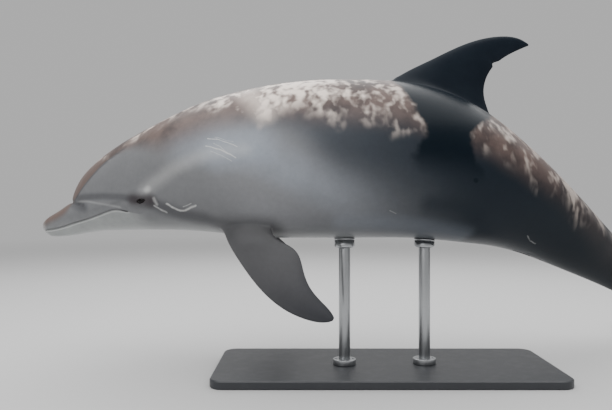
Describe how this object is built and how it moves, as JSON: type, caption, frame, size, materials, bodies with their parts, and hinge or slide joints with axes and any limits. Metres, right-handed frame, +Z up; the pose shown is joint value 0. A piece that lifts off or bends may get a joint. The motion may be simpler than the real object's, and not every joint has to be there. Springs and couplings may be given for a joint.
{
  "type": "bottlenose dolphin model on display stand",
  "caption": "Life-size still model of a bottlenose dolphin swimming in a gentle bend, held by rods over a flat display base.",
  "frame": {"origin": "centre of the underside of the stand's base plate", "axes": "+X runs back from the snout to the tail along the base, +Y to the right flank, +Z up"},
  "size_m": [2.4434, 1.006, 1.0141],
  "materials": {
    "skin": "smooth satin grey skin, dark on the back and fins, pale on the throat and belly",
    "eye": "wet gloss, dark brown",
    "rod_steel": "brushed",
    "base_paint": "satin charcoal paint"
  },
  "bodies": {
    "root": {"beak_upper": "skin", "lower_jaw": "skin", "head": "skin", "chest": "skin", "trunk": "skin", "tail_stock_front": "skin", "tail_stock_rear": "skin", "fluke_left": "skin", "fluke_right": "skin", "dorsal_fin": "skin", "flipper_left": "skin", "flipper_right": "skin", "eye_left": "eye", "eye_right": "eye", "stand_base": "base_paint", "stand_rod_front": "rod_steel", "stand_rod_rear": "rod_steel", "stand_collar_front": "rod_steel", "stand_collar_rear": "rod_steel", "stand_cup_front": "rod_steel", "stand_cup_rear": "rod_steel"}
  },
  "joints": []
}
